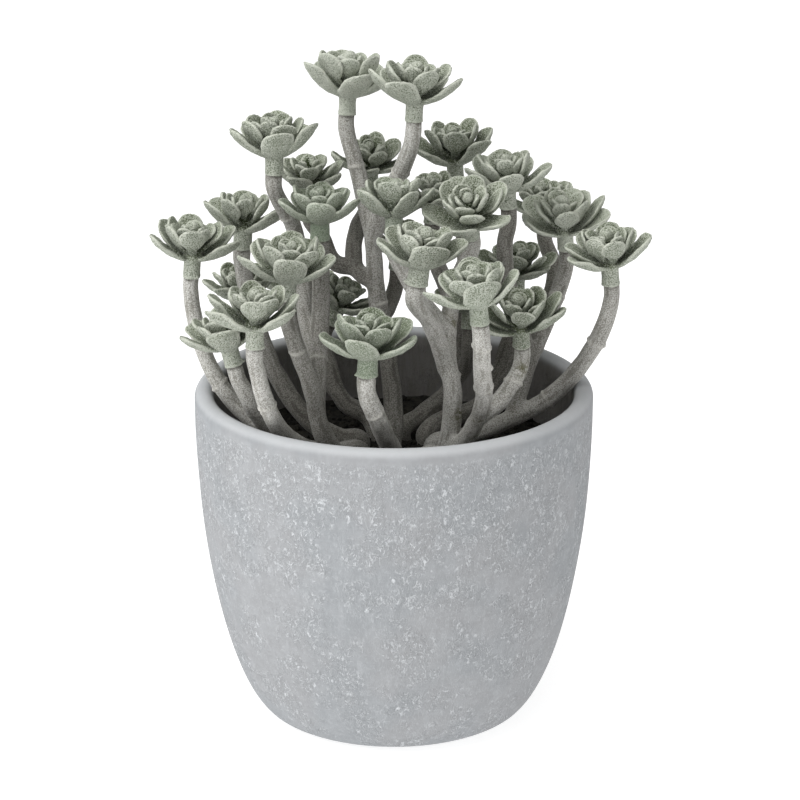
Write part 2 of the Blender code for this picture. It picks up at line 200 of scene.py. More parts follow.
# Petals that the photograph shows one by one: the way that each of the five outer petals and of the five
# above them points, turned from +X towards +Y, and how much steeper than usual it stands
PETAL_TURNS = {
    1: (((202, 8), (285, -2), (335, 2), (60, 0), (125, 0)),
        ((225, 10), (172, 12), (330, 6), (30, 6), (100, 6))),
    2: (((248, 2), (345, 2), (190, 6), (60, 0), (125, 0)),
        ((5, 4), (292, 2), (205, 6), (165, 8), (90, 8))),
    3: (((198, 8), (278, 12), (345, 12), (55, 0), (125, 0)),
        ((215, 6), (300, 6), (5, 8), (150, 8), (80, 8))),
    6: (((218, 4), (320, 12), (2, 12), (180, 6), (90, 0)),
        ((275, 10), (200, 12), (348, 14), (40, 8), (130, 8))),
    7: (((278, 6), (205, 10), (345, 0), (60, 0), (130, 0)),
        ((228, 6), (350, 12), (170, 8), (30, 8), (100, 8))),
    8: (((272, 11), (200, 4), (338, 8), (55, 0), (125, 0)),
        ((225, 8), (318, 6), (8, 8), (168, 8), (90, 8))),
    9: (((212, 6), (318, 22), (10, 8), (70, 0), (130, 0)),
        ((262, 16), (175, 4), (345, 12), (40, 6), (110, 6))),
    11: (((198, 12), (325, 6), (20, 0), (80, 0), (135, 0)),
         ((238, 8), (330, 10), (165, 14), (20, 8), (95, 8))),
    12: (((197, 4), (347, -4), (30, 6), (90, 0), (150, 12)),
         ((272, 2), (215, 6), (165, 12), (20, 6), (100, 8))),
    13: (((205, 2), (335, 4), (5, 12), (80, 0), (140, 0)),
         ((275, 2), (190, 8), (320, 10), (30, 6), (110, 6))),
    14: (((218, 0), (350, 12), (185, 8), (60, 0), (120, 0)),
         ((282, 6), (232, 6), (0, 12), (160, 6), (90, 6))),
    15: (((197, 2), (277, 12), (345, 4), (60, 0), (125, 0)),
         ((237, 6), (312, 4), (170, 6), (15, 6), (90, 6))),
    16: (((200, 0), (292, 24), (5, 10), (70, 0), (130, 0)),
         ((228, 2), (180, 6), (335, 10), (40, 6), (110, 6))),
    17: (((197, -6), (350, 12), (285, 22), (70, 0), (130, 0)),
         ((195, 4), (236, 0), (316, 10), (20, 8), (100, 8))),
    18: (((215, 2), (325, 2), (182, 14), (358, 14), (90, 0)),
         ((272, 0), (160, 8), (312, 6), (30, 6), (100, 8))),
    20: (((205, -8), (340, 4), (172, 6), (10, 12), (90, 0)),
         ((275, 2), (195, 4), (325, 8), (30, 8), (120, 8))),
    21: (((190, 0), (265, 24), (10, 4), (80, 0), (140, 0)),
         ((222, 6), (330, 6), (170, 6), (30, 8), (100, 8))),
    22: (((200, -2), (262, 4), (335, 2), (45, 0), (120, 0)),
         ((190, 6), (232, 8), (292, 4), (348, 6), (80, 6))),
}

# Stem clumps: where each one enters the soil, then its stems. A stem has the head that it ends in, the
# point inside an earlier stem that it forks from (None for the soil), and the points that it bends through.
CLUMPS = {
    "stem_left": ((-13, -5), (
        (18, None, ((-20, -12, 102), (-31, -22, 107), (-38, -36, 117), (-43, -49, 131))),
        (12, (-31, -22, 107), ((-44, -19, 111), (-60, -14, 125), (-69, -9, 142))),
        (21, (-45, -18, 112), ((-50, -27, 125), (-53, -29, 132))),
    )),
    "stem_left_back": ((-13, 6), (
        (11, None, ((-20, 3, 102), (-32, 2, 110), (-43, 7, 125), (-50, 12, 142))),
        (28, (-45, 9, 129), ((-50, 21, 133),)),
    )),
    "stem_left_front": ((-12, -17), (
        (8, None, ((-20, -22, 104), (-27, -26, 120), (-27, -21, 136), (-26, -11, 155))),
        (15, (-27, -26, 120), ((-29, -28, 132), (-34, -29, 147))),
        (3, (-27, -19, 140), ((-31, -8, 150), (-33, 3, 164), (-36, 4, 182))),
    )),
    "stem_centre": ((-1, 1), (
        (1, None, ((0, 2, 109), (-2, 8, 130), (-6, 13, 152), (-8, 17, 174), (-13, 25, 196))),
        (2, (-8, 16, 172), ((-4, 14, 188), (3, 9, 202))),
        (5, (-7, 14, 158), ((-14, 20, 162), (-14, 35, 172))),
        (4, (-14, 20, 162), ((-22, 21, 164), (-27, 25, 173))),
        (26, (-5, 12, 145), ((-2, 22, 147),)),
    )),
    "stem_front": ((-1, -15), (
        (22, None, ((0, -21, 104), (-3, -38, 117), (-6, -50, 129))),
    )),
    "stem_front_right": ((12, -11), (
        (10, None, ((18, -16, 103), (21, -20, 125), (19, -17, 142), (21, -9, 160))),
        (16, (19, -18, 134), ((16, -22, 146), (12, -30, 158))),
        (9, (20, -15, 147), ((11, -17, 159), (4, -16, 170))),
        (24, (21, -10, 158), ((18, 3, 162), (15, 16, 167))),
        (17, (18, -16, 103), ((25, -25, 111), (31, -39, 130), (30, -52, 148))),
        (20, (30, -34, 123), ((37, -29, 127), (43, -23, 134))),
    )),
    "stem_right": ((15, 2), (
        (14, None, ((23, 1, 102), (42, 3, 109), (56, 3, 117), (66, -1, 129), (74, -6, 145))),
        (13, (43, 3, 109), ((48, 10, 124), (55, 18, 139), (61, 24, 153))),
        (7, (50, 12, 128), ((46, 12, 142), (41, 12, 160), (40, 11, 174))),
    )),
    "stem_right_back": ((12, 13), (
        (19, None, ((17, 18, 103), (33, 28, 107), (43, 38, 127))),
        (25, (37, 32, 113), ((48, 37, 123), (57, 45, 138), (61, 52, 152))),
    )),
    "stem_back": ((3, 18), (
        (6, None, ((10, 24, 103), (23, 36, 113), (27, 46, 138), (26, 48, 168))),
        (29, (21, 34, 112), ((27, 28, 122),)),
    )),
    "stem_mid_back": ((-7, 16), (
        (23, None, ((-10, 18, 105), (-19, 18, 111), (-24, 22, 123))),
        (27, (-22, 19, 115), ((-29, 34, 120), (-34, 48, 125))),
    )),
}

# How dark and brown a stem is painted, from 0 to 1, by the head above it: mostly painted shade on the stems
# deep in the plant, partly a stem's own darker tone
STEM_SHADES = {
    1: 0.3, 3: 0.45, 4: 1.0, 5: 1.0, 6: 1.0, 7: 0.9, 8: 0.7, 11: 0.2, 13: 0.6, 14: 0.35, 15: 0.6, 19: 1.0,
    23: 1.0, 24: 0.9, 25: 0.9, 26: 1.0, 27: 1.0, 28: 1.0, 29: 1.0,
}

# Raised rings on the stems, by the head above them and their height
RINGS = {
    18: (132,), 21: (122,), 22: (130,), 15: (146,), 10: (148,), 17: (138, 156), 20: (132,), 8: (139,),
    14: (117, 141), 13: (150,), 7: (150,), 1: (150, 198), 2: (200,), 3: (168, 186), 12: (128,), 11: (141,),
    6: (140,), 25: (140,), 9: (163,),
}

# Leaf scars on the stems: the head above, their height, and the way they point from +X towards +Y
SCARS = (
    (14, 141, -20), (13, 149, 10), (20, 132, 0), (17, 147, -10), (22, 128, -40), (12, 119, -70),
    (18, 131, -160), (10, 133, 20), (8, 128, -150), (27, 118, -90), (1, 141, -60), (3, 173, 180),
)

# Bare patches where the flock is worn off, given as the scars are
WORN = ((17, 124, -60), (17, 116, -40), (20, 136, -80), (10, 150, -70), (10, 120, -30))

# Heads whose flock is thinner than on the others (above 0) or denser (below 0): partly each head's own tone,
# partly painted light on a head that lies in the shadow of others, as head 13 does
BARENESS_AND_PAINTED_LIGHT = {
    1: -0.8, 3: 0.2, 4: 0.3, 5: 0.5, 6: 0.45, 7: -0.2, 8: 0.2, 9: 0.1, 10: -0.1, 13: -0.6, 14: 0.25, 16: 0.1,
    17: 0.15, 19: 0.7, 20: 0.9, 22: 0.8, 23: 0.9, 24: 0.6, 25: 0.3, 26: 0.6, 27: 0.8, 28: 0.8, 29: 0.8,
}

# How green a head's collar is. Its petals are green by a share of that.
GREENNESS = {8: 0.65, 22: 0.45, 9: 0.3, 17: 0.2}
USUAL_GREENNESS = 0.06
PETAL_GREENNESS = 0.35

# Studio, in metres and watts: the floor, the sky, and lights by place, size and power
FLOOR_REACH_M = 12.0
FLOOR_GREY = 0.46
FLOOR_GLOW = 0.78
SKY_STRENGTH = 0.4
AIM_HEIGHT_M = 0.12
LIGHTS = (
    ("key light", (-1.35, -0.7, 1.9), 1.8, 45),
    ("top light", (0.2, -0.3, 2.2), 1.4, 10),
    ("front light", (-0.3, -2.0, 1.0), 1.4, 8),
)


class Form:
    """Points in millimetres, faces, and named values for each point, gathered part by part."""

    def __init__(self):
        self.points = []
        self.faces = []
        self.values = {}
        self.count = 0

    def add(self, points, faces, **values):
        points = np.asarray(points, float)
        self.faces += [[corner + self.count for corner in face] for face in faces]
        self.points.append(points)
        for name, value in values.items():
            self.values.setdefault(name, []).append(np.broadcast_to(value, len(points)))
        self.count += len(points)

    def mesh(self, name):
        made = bpy.data.meshes.new(name)
        made.from_pydata((np.concatenate(self.points) * MM).tolist(), [], self.faces)
        for key, parts in self.values.items():
            set_value(made, key, np.concatenate(parts))
        made.shade_smooth()
        return made


def set_value(mesh, name, values):
    """Stores one number for each vertex, which a material reads by name."""
    attribute = mesh.attributes.new(name, "FLOAT", "POINT")
    attribute.data.foreach_set("value", np.asarray(values, np.float32))


def grid_faces(rows, around):
    """Quads between rows of points that each go once round, with a face at both ends."""
    faces = []
    for row in range(rows - 1):
        for side in range(around):
            beside = (side + 1) % around
            faces.append((row * around + side, row * around + beside,
                          (row + 1) * around + beside, (row + 1) * around + side))
    faces.append(tuple(reversed(range(around))))
    faces.append(tuple(range((rows - 1) * around, rows * around)))
    return faces


def put(name, data):
    """A new object in the scene."""
    made = bpy.data.objects.new(name, data)
    bpy.context.scene.collection.objects.link(made)
    return made


def place(name, mesh, finish, slot, *nodes):
    """Puts a finished mesh in the scene in place of the frame's nodes."""
    piece = put(name, mesh)
    mesh.materials.clear()
    mesh.materials.append(finish)
    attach(piece, "root")
    if nodes:
        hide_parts(*nodes)


def round_turns(sides):
    """The angles of evenly spaced points on a circle, in radians."""
    return np.arange(sides) * 2 * pi / sides


def smoothstep(low, high, value):
    share = np.clip((value - low) / (high - low), 0, 1)
    return share * share * (3 - 2 * share)


def noise_at(points, size, seed=0.0):
    """Smooth noise from -1 to 1 at each point, with lumps of about the given size."""
    shift = Vector((seed, seed * 1.7, -seed))
    return np.array([noise.noise(Vector(point) / size + shift) for point in points])


def srgb(red, green, blue):
    """A 0-255 sRGB colour as the linear colour that a shader takes."""
    def linear(value):
        share = value / 255
        return share / 12.92 if share <= 0.04045 else ((share + 0.055) / 1.055) ** 2.4
    return (linear(red), linear(green), linear(blue), 1.0)


# Materials

def set_inputs(tree, node, inputs):
    """Sets a node's inputs, given by name or number, each to a socket to link or to a plain value."""
    for key, value in inputs.items():
        if isinstance(value, bpy.types.NodeSocket):
            tree.links.new(value, node.inputs[key])
        else:
            node.inputs[key].default_value = value


def new_material(name, roughness, specular, sheen=0.0, sheen_tint=(1, 1, 1, 1)):
    made = bpy.data.materials.new(name)
    made.use_nodes = True
    shader = made.node_tree.nodes["Principled BSDF"]
    set_inputs(made.node_tree, shader, {
        "Roughness": roughness, "Specular IOR Level": specular,
        "Sheen Weight": sheen, "Sheen Roughness": 0.5, "Sheen Tint": sheen_tint,
    })
    return made, made.node_tree, shader


def add_node(tree, kind, inputs, **settings):
    made = tree.nodes.new(kind)
    for key, value in settings.items():
        setattr(made, key, value)
    set_inputs(tree, made, inputs)
    return made


def object_place(tree, scale=(1, 1, 1)):
    """Object coordinates. A pattern runs long in a direction whose scale is below 1."""
    coordinates = add_node(tree, "ShaderNodeTexCoord", {})
    return add_node(tree, "ShaderNodeMapping", {0: coordinates.outputs["Object"], 3: scale}).outputs[0]


def fine_noise(tree, size, detail=3.0, roughness=0.55, distortion=0.0, scale=(1, 1, 1)):
    """Noise from 0 to 1 whose largest lumps are about size millimetres."""
    made = add_node(tree, "ShaderNodeTexNoise", {
        "Vector": object_place(tree, scale), "Scale": 1 / (size * MM), "Detail": detail,
        "Roughness": roughness, "Distortion": distortion,
    })
    return made.outputs[0]


def between(tree, value, low, high, out_low=0.0, out_high=1.0):
    """A value's place between low and high, eased at both ends."""
    made = add_node(tree, "ShaderNodeMapRange", {0: value, 1: low, 2: high, 3: out_low, 4: out_high},
                    interpolation_type="SMOOTHSTEP")
    return made.outputs[0]


def calculate(tree, operation, first, second):
    return add_node(tree, "ShaderNodeMath", {0: first, 1: second}, operation=operation).outputs[0]


def times(tree, first, second):
    return calculate(tree, "MULTIPLY", first, second)


def plus(tree, first, second):
    return calculate(tree, "ADD", first, second)


def blend(tree, share, first, second):
    made = add_node(tree, "ShaderNodeMix", {0: share, 6: first, 7: second}, data_type="RGBA")
    return made.outputs[2]


def lay_on(tree, colour, hue, mask, share):
    """The colour with another hue laid on it where the mask is high, up to the given share."""
    return blend(tree, times(tree, mask, share), colour, srgb(*hue))


def stored(tree, name):
    """A value that the mesh stores for each of its points."""
    return add_node(tree, "ShaderNodeAttribute", {}, attribute_name=name).outputs["Fac"]


def dress(tree, shader, colour, relief, depth):
    """Gives the shader its colour, and bumps of about depth millimetres."""
    bumps = add_node(tree, "ShaderNodeBump", {"Height": relief, "Distance": depth * MM, "Strength": 1.0})
    set_inputs(tree, shader, {"Base Color": colour, "Normal": bumps.outputs[0]})


def height_band(tree, height, band, out_low=0.0, out_high=1.0):
    """A height's place in a band that is given in millimetres."""
    low, high = band
    return between(tree, height, low * MM, high * MM, out_low, out_high)


def worm_lines(tree, size, width, distortion):
    """Thin crooked lines from 0 to 1, more upright than level, along the middle level of a noise."""
    lumps = fine_noise(tree, size, 3, 0.6, distortion, (1, 1, 0.6))
    ridge = calculate(tree, "ABSOLUTE", calculate(tree, "SUBTRACT", lumps, 0.5), 0.0)
    return between(tree, ridge, 0.0, width, 1.0, 0.0)


def plaster_crackle(tree, height):
    """Two nets of thin pale cracks, coarse and fine, in clusters on the wall below the rim."""
    below_rim = height_band(tree, height, CRACKLE_END_BAND, 1.0, 0.0)
    denser = height_band(tree, height, CRACKLE_RISE_BAND, 0.0, 0.08)
    clusters = between(tree, plus(tree, fine_noise(tree, 13, 4, 0.7), denser), 0.43, 0.58)
    clusters = times(tree, calculate(tree, "MAXIMUM", clusters, 0.2), below_rim)
    broken = between(tree, fine_noise(tree, 2.0, 2), 0.36, 0.52)
    coarse = times(tree, times(tree, worm_lines(tree, 2.3, 0.055, 1.0), broken), clusters)
    fine = times(tree, worm_lines(tree, 1.2, 0.07, 0.8), clusters)
    return coarse, fine


def plaster_material():
    """Cast plaster: an even grey, faintly brushed, with fine pale crackle in clusters and a smooth rim whose
    top is painted paler, partly its own tone and partly a painted highlight.
    """
    made, tree, shader = new_material("grey plaster", 0.86, 0.25)
    height = add_node(tree, "ShaderNodeSeparateXYZ", {0: object_place(tree)}).outputs[2]
    clouds = between(tree, fine_noise(tree, 30, 2), 0.4, 0.6)
    colour = blend(tree, clouds, srgb(150, 153, 156), srgb(155, 156, 158))
    upright = between(tree, fine_noise(tree, 1.3, 3, 0.6, scale=(1, 1, 0.1)), 0.3, 0.7)
    level = between(tree, fine_noise(tree, 1.6, 3, 0.6, scale=(0.12, 0.12, 1)), 0.3, 0.7)
    brushed = times(tree, plus(tree, upright, level), 0.5)
    colour = lay_on(tree, colour, (176, 179, 182), brushed, 0.3)
    mottle = between(tree, fine_noise(tree, 7, 5, 0.7), 0.44, 0.62)
    colour = lay_on(tree, colour, (180, 183, 186), mottle, 0.25)

    coarse, fine = plaster_crackle(tree, height)
    colour = lay_on(tree, colour, (219, 222, 225), coarse, 0.9)
    colour = lay_on(tree, colour, (202, 205, 208), fine, 0.35)
    # The rim's top painted paler: partly its own smoother plaster, partly a painted highlight.
    colour = lay_on(tree, colour, (195, 197, 199), height_band(tree, height, RIM_BAND), 0.65)
    # Painted shade: the pot's inside, walls and floor, is darker and warmer grey, in faint upright streaks.
    inside_shade = between(tree, upright, 0.0, 1.0, 0.97, 0.86)
    colour = lay_on(tree, colour, (122, 119, 115), stored(tree, "inner"), inside_shade)
    # Painted shade: a small dark spot for the pit in the wall.
    colour = lay_on(tree, colour, (70, 70, 70), stored(tree, "pit"), 0.85)

    relief = plus(tree, coarse, times(tree, fine, 0.5))
    dress(tree, shader, colour, plus(tree, relief, times(tree, brushed, 0.3)), 0.2)
    return made


def soil_material():
    """Nearly black crumbs with a few paler specks."""
    made, tree, shader = new_material("dark soil", 0.95, 0.2)
    clods = between(tree, fine_noise(tree, 3.0, 4), 0.35, 0.7)
    colour = blend(tree, clods, srgb(20, 20, 18), srgb(46, 44, 38))
    specks = between(tree, fine_noise(tree, 0.7, 2), 0.62, 0.74)
    colour = lay_on(tree, colour, (88, 86, 78), specks, 0.5)
    dress(tree, shader, colour, fine_noise(tree, 0.8, 3), 0.3)
    return made


def flock_grains(tree, cover):
    """Where the tips of the fibres show, from 0 to 1: small grains, denser where cover is higher."""
    grains = fine_noise(tree, GRAIN_SIZE, 1, 0.6)
    return between(tree, plus(tree, grains, times(tree, cover, 0.2)), 0.46, 0.73)


def stem_material():
    """Warm grey flock with pale rings, worn olive patches, streaks and a dark seam under each collar,
    painted darker and browner as shade low between the stems and along the stems deep in the plant.
    """
    made, tree, shader = new_material("grey flocked stem", 0.95, 0.1, 0.25, srgb(232, 231, 227))
    patches = between(tree, fine_noise(tree, 8, 3), 0.35, 0.65)
    shade_and_tone = stored(tree, "shade_and_tone")
    deep = blend(tree, patches, srgb(137, 135, 128), srgb(152, 150, 143))
    # Painted shade: the flock turns darker and browner low between the stems and on the stems deep in the
    # plant.
    deep = blend(tree, shade_and_tone, deep, srgb(93, 91, 85))
    tips = blend(tree, patches, srgb(192, 191, 186), srgb(206, 205, 201))
    tips = blend(tree, shade_and_tone, tips, srgb(136, 134, 128))
    streak = times(tree, stored(tree, "streak"), 0.9)
    grains = flock_grains(tree, calculate(tree, "SUBTRACT", FLOCK_COVER, streak))
    colour = blend(tree, grains, deep, tips)
    frayed = between(tree, fine_noise(tree, 1.4, 3), 0.4, 0.55)
    colour = lay_on(tree, colour, (90, 88, 60), stored(tree, "worn"), frayed)
    colour = lay_on(tree, colour, (64, 60, 53), stored(tree, "seam"), 0.8)
    colour = lay_on(tree, colour, (222, 220, 212), stored(tree, "ring"), 0.6)
    dress(tree, shader, colour, fine_noise(tree, GRAIN_RELIEF_SIZE, 1, 0.5), 0.35)
    return made


def petal_material():
    """Sage grey flock: dense and pale outside, with the rims painted paler as a sheen, and thinner over
    olive in the hollows, which are painted darker still as shade.
    """
    made, tree, shader = new_material("sage flocked petal", 0.95, 0.1, 0.3, srgb(226, 230, 220))
    patches = between(tree, fine_noise(tree, 4.5, 3), 0.35, 0.65)
    inside = stored(tree, "inside")
    hollow = stored(tree, "hollow")
    rim = stored(tree, "rim")
    # The upper sides and the hollows are darker and more olive: partly the plastic showing through thinner
    # flock, partly painted shade.
    deep = blend(tree, inside, srgb(111, 118, 101), srgb(93, 101, 78))
    deep = blend(tree, hollow, deep, srgb(46, 55, 31))
    tips = blend(tree, patches, srgb(180, 184, 172), srgb(197, 200, 189))
    tips = lay_on(tree, tips, (172, 178, 161), inside, 0.6)
    cover = calculate(tree, "SUBTRACT", FLOCK_COVER, times(tree, hollow, 0.8))
    # Painted sheen: the rims get more pale fibre tips here, and a pale tint below.
    cover = plus(tree, cover, times(tree, rim, 0.5))
    cover = plus(tree, cover, times(tree, stored(tree, "collar"), 0.15))
    # Thinner flock darkens a head and denser flock lightens it: partly its own tone, partly painted light on
    # a head in others' shadow.
    cover = calculate(tree, "SUBTRACT", cover, times(tree, stored(tree, "bare_and_painted_light"), 0.5))
    colour = blend(tree, flock_grains(tree, cover), deep, tips)
    colour = lay_on(tree, colour, (205, 208, 195), rim, 0.55)
    colour = blend(tree, stored(tree, "green"), colour, srgb(128, 144, 122))
    dress(tree, shader, colour, fine_noise(tree, GRAIN_RELIEF_SIZE, 1, 0.5), 0.5)
    return made


# Pot and soil

def pot_wall_radius(height):
    """The pot's outer radius: it swells from the base and is upright from the swell height on."""
    up, out = POT_SWELL_POWERS
    left = max(0.0, 1 - height / POT_SWELL_HEIGHT)
    return POT_BASE_RADIUS + (POT_RADIUS - POT_BASE_RADIUS) * (1 - left ** up) ** (1 / out)


def arc(centre, radius, start, end, steps):
    """Points on an arc in the (radius, height) plane, both ends included."""
    angles = np.radians(np.linspace(start, end, steps + 1))
    return [(centre[0] + radius * cos(angle), centre[1] + radius * sin(angle)) for angle in angles]


def turned(outline, sides):
    """Points and faces of a body turned round Z from an outline of (radius, height) pairs."""
    turns = round_turns(sides)
    points = [(radius * cos(turn), radius * sin(turn), height)
              for radius, height in outline for turn in turns]
    return np.array(points), grid_faces(len(outline), sides)


def pot_outline():
    """The pot's outline, outside and then inside, and how many of its points lie outside."""
    straight = POT_HEIGHT - POT_EDGE
    bottom = pot_wall_radius(POT_FLOOR) - POT_WALL
    outer = np.linspace(POT_FOOT + 1.2, straight - 1, POT_OUTER_ROWS)
    inner = np.linspace(straight - 1, POT_FLOOR + 2, POT_INNER_ROWS)
    outline = [(POT_BASE_RADIUS * share, 0.0) for share in (0.02, 0.5, 0.9)]
    outline += arc((POT_BASE_RADIUS - POT_FOOT, POT_FOOT), POT_FOOT, -90, -20, 4)
    outline += [(pot_wall_radius(height), height) for height in outer]
    outline += arc((POT_RADIUS - POT_EDGE, straight), POT_EDGE, 0, 180, 16)
    crest = len(outline)
    outline += [(pot_wall_radius(height) - POT_WALL, height) for height in inner]
    outline += [(bottom * share, POT_FLOOR) for share in (0.9, 0.5, 0.02)]
    return outline, crest


def build_pot(finish):
    """The pot, with a barely uneven wall."""
    outline, crest = pot_outline()
    points, faces = turned(outline, POT_SIDES)
    reach = np.linalg.norm(points[:, :2], axis=1)
    waver = POT_WAVER * noise_at(points, 28) * smoothstep(4, 20, points[:, 2])
    points[:, :2] *= ((reach - POT_WAVER + waver) / reach)[:, None]
    inner = smoothstep(crest - 5, crest, np.repeat(np.arange(len(outline)), POT_SIDES))
    # Painted shade for the pit, as a dark spot on an undented wall.
    pit = 1 - smoothstep(0.4, 1.3, np.linalg.norm(points - PIT_PLACE, axis=1))
    form = Form()
    form.add(points, faces, inner=inner, pit=pit)
    place("plaster_pot", form.mesh("plaster_pot"), finish, "pot_plaster", "pot")


def soil_height(points):
    """The lumpy height of the soil's top at points given as x and y."""
    flat = np.column_stack([points, np.zeros(len(points))])
    lumps = 1.5 * noise_at(flat, 16, 3.0) + 0.8 * noise_at(flat, 5, 7.0)
    lumps += 0.5 * np.abs(noise_at(flat, 1.7, 9.0))
    return SOIL_LEVEL + lumps - SOIL_SETTLING


def build_soil(finish):
    """The bed's top as a lumpy disc whose edge goes down along the pot's wall."""
    radius = pot_wall_radius(SOIL_LEVEL) - POT_WALL - SOIL_GAP
    turns = round_turns(SOIL_SIDES)
    rows = []
    for share in np.linspace(1, 0.01, round(radius / SOIL_GRID)):
        flat = radius * share * np.column_stack([np.cos(turns), np.sin(turns)])
        rows.append(np.column_stack([flat, soil_height(flat)]))
    low = rows[0].copy()
    low[:, 2] = SOIL_BOTTOM
    low[:, :2] *= (pot_wall_radius(SOIL_BOTTOM) - POT_WALL - SOIL_GAP) / radius
    rows.insert(0, low)
    form = Form()
    form.add(np.concatenate(rows), grid_faces(len(rows), SOIL_SIDES))
    place("soil_bed", form.mesh("soil_bed"), finish, "soil", "soil")


def ball_template(fineness):
    """A unit ball: 42 points at a fineness of 2 and 162 at 3."""
    bpy.ops.mesh.primitive_ico_sphere_add(subdivisions=fineness, radius=1.0)
    ball = bpy.context.object
    points = np.array([vertex.co for vertex in ball.data.vertices])
    faces = [tuple(face.vertices) for face in ball.data.polygons]
    bpy.data.objects.remove(ball)
    return points, faces


def build_crumbs(finish):
    """Loose angular crumbs strewn over the soil, larger ones among many small ones."""
    draw = random.Random(SOIL_SEED)
    ball, faces = ball_template(2)
    limit = pot_wall_radius(SOIL_LEVEL) - POT_WALL - CRUMB_EDGE_GAP
    form = Form()
    for _ in range(SOIL_CRUMBS):
        reach = limit * sqrt(draw.random())
        turn = draw.uniform(0, 2 * pi)
        size = CRUMB_SMALLEST + CRUMB_SPREAD * draw.random() ** 3
        centre = np.array([[reach * cos(turn), reach * sin(turn)]])
        dents = 1 + 0.35 * noise_at(ball, 0.8, draw.uniform(0, 90))
        shape = ball * dents[:, None] * [draw.uniform(0.7, 1.2) for _ in range(3)] * size
        tilt = np.array(Euler([draw.uniform(0, 6) for _ in range(3)]).to_matrix())
        level = soil_height(centre)[0] + size * 0.3
        form.add(shape @ tilt.T + [centre[0, 0], centre[0, 1], level], faces)
    place("soil_crumbs", form.mesh("soil_crumbs"), finish, "soil")


# Stems

def head_axis(number):
    """The way a head points: up, leaning to the right and to the front."""
    head = HEADS[number]
    return Vector((sin(radians(head.right)), -sin(radians(head.front)), 1)).normalized()


def tip_radius(number):
    return TIP_RADII.get(number, STEM_TIP_RADIUS)


def smooth_route(points, spacing):
    """A smooth curve through the points, cut into steps of about the given length."""
    points = [Vector(point) for point in points]
    padded = [2 * points[0] - points[1], *points, 2 * points[-1] - points[-2]]
    headings = [(after - before).normalized() for before, after in zip(padded, padded[2:])]
    route = []
    for start, end, leaving, arriving in zip(points, points[1:], headings, headings[1:]):
        reach = (end - start).length
        steps = max(1, round(reach / spacing))
        for step in range(steps):
            t = step / steps
            route.append(
                start * (2 * t ** 3 - 3 * t ** 2 + 1) + leaving * reach * (t ** 3 - 2 * t ** 2 + t)
                + end * (3 * t ** 2 - 2 * t ** 3) + arriving * reach * (t ** 3 - t ** 2)
            )
    route.append(points[-1])
    return np.array(route)


class Stem:
    """One stem's middle line, with its length so far, its directions and its radius at each point."""

    def __init__(self, number, foot, fork, bends):
        axis = head_axis(number)
        seam = Vector(HEADS[number].seam)
        first = STEM_FOOT_RADIUS if fork is None else STEM_FORK_RADIUS
        if fork is None:
            straight = STEM_FOOT_STRAIGHT
            heights = (SOIL_LEVEL - STEM_FOOT_DEPTH, SOIL_LEVEL - straight, SOIL_LEVEL + straight)
            start = [(*foot, height) for height in heights]
        else:
            start = [fork]
        ends = [seam - axis * NECK, seam + axis * TIP_DEPTH]
        self.number = number
        self.line = smooth_route([*start, *bends, *ends], STEM_SPACING)
        steps = np.diff(self.line, axis=0)
        self.length = np.concatenate([[0], np.cumsum(np.linalg.norm(steps, axis=1))])
        self.along = np.gradient(self.line, axis=0)
        self.along /= np.linalg.norm(self.along, axis=1)[:, None]
        self.side = self.untwisted_side()
        self.across = np.cross(self.along, self.side)
        share = self.length / self.length[-1]
        self.radius = first + (tip_radius(number) - first) * share

    def untwisted_side(self):
        """For each point, a direction across the stem that turns as little as it can."""
        side = np.array([1.0, 0.0, 0.0])
        sides = []
        for along in self.along:
            side = side - along * side.dot(along)
            side /= np.linalg.norm(side)
            sides.append(side)
        return np.array(sides)

    def at_height(self, height):
        """The length along the stem where it first reaches a height."""
        above = np.nonzero(self.line[:, 2] >= height)[0]
        return self.length[above[0]] if len(above) else self.length[-1]

    def tube(self):
        turns = round_turns(STEM_SIDES)
        ring = (self.side[:, None] * np.cos(turns)[None, :, None]
                + self.across[:, None] * np.sin(turns)[None, :, None])
        points = self.line[:, None] + ring * self.radius[:, None, None]
        return points.reshape(-1, 3), grid_faces(len(self.line), STEM_SIDES)


def fuse(mesh, voxel):
    """One even skin, as a new mesh, round a mesh of crossing tubes."""
    holder = put("fused", mesh)
    remesh = holder.modifiers.new("Remesh", "REMESH")
    remesh.mode = "VOXEL"
    remesh.voxel_size = voxel * MM
    seen = holder.evaluated_get(bpy.context.evaluated_depsgraph_get())
    skin = bpy.data.meshes.new_from_object(seen)
    bpy.data.objects.remove(holder)
    return skin


def read_points(mesh):
    points = np.zeros(len(mesh.vertices) * 3)
    mesh.vertices.foreach_get("co", points)
    return points.reshape(-1, 3) / MM


def smoothed(points, edges, rounds, share):
    """Moves each point towards the middle of its neighbours, by its own share."""
    count = np.zeros(len(points))
    np.add.at(count, edges.ravel(), 1)
    for _ in range(rounds):
        total = np.zeros_like(points)
        np.add.at(total, edges[:, 0], points[edges[:, 1]])
        np.add.at(total, edges[:, 1], points[edges[:, 0]])
        points = points + (total / count[:, None] - points) * share[:, None]
    return points


def nearest_on_line(points, stem):
    """For each point: how far outside a stem it is, and the number of the middle line's nearest point."""
    depth = np.zeros(len(points))
    nearest = np.zeros(len(points), int)
    for start in range(0, len(points), STEM_BATCH):
        part = points[start:start + STEM_BATCH]
        apart = np.linalg.norm(part[:, None] - stem.line[None], axis=2) - stem.radius[None]
        index = apart.argmin(axis=1)
        depth[start:start + STEM_BATCH] = apart[np.arange(len(part)), index]
        nearest[start:start + STEM_BATCH] = index
    return depth, nearest


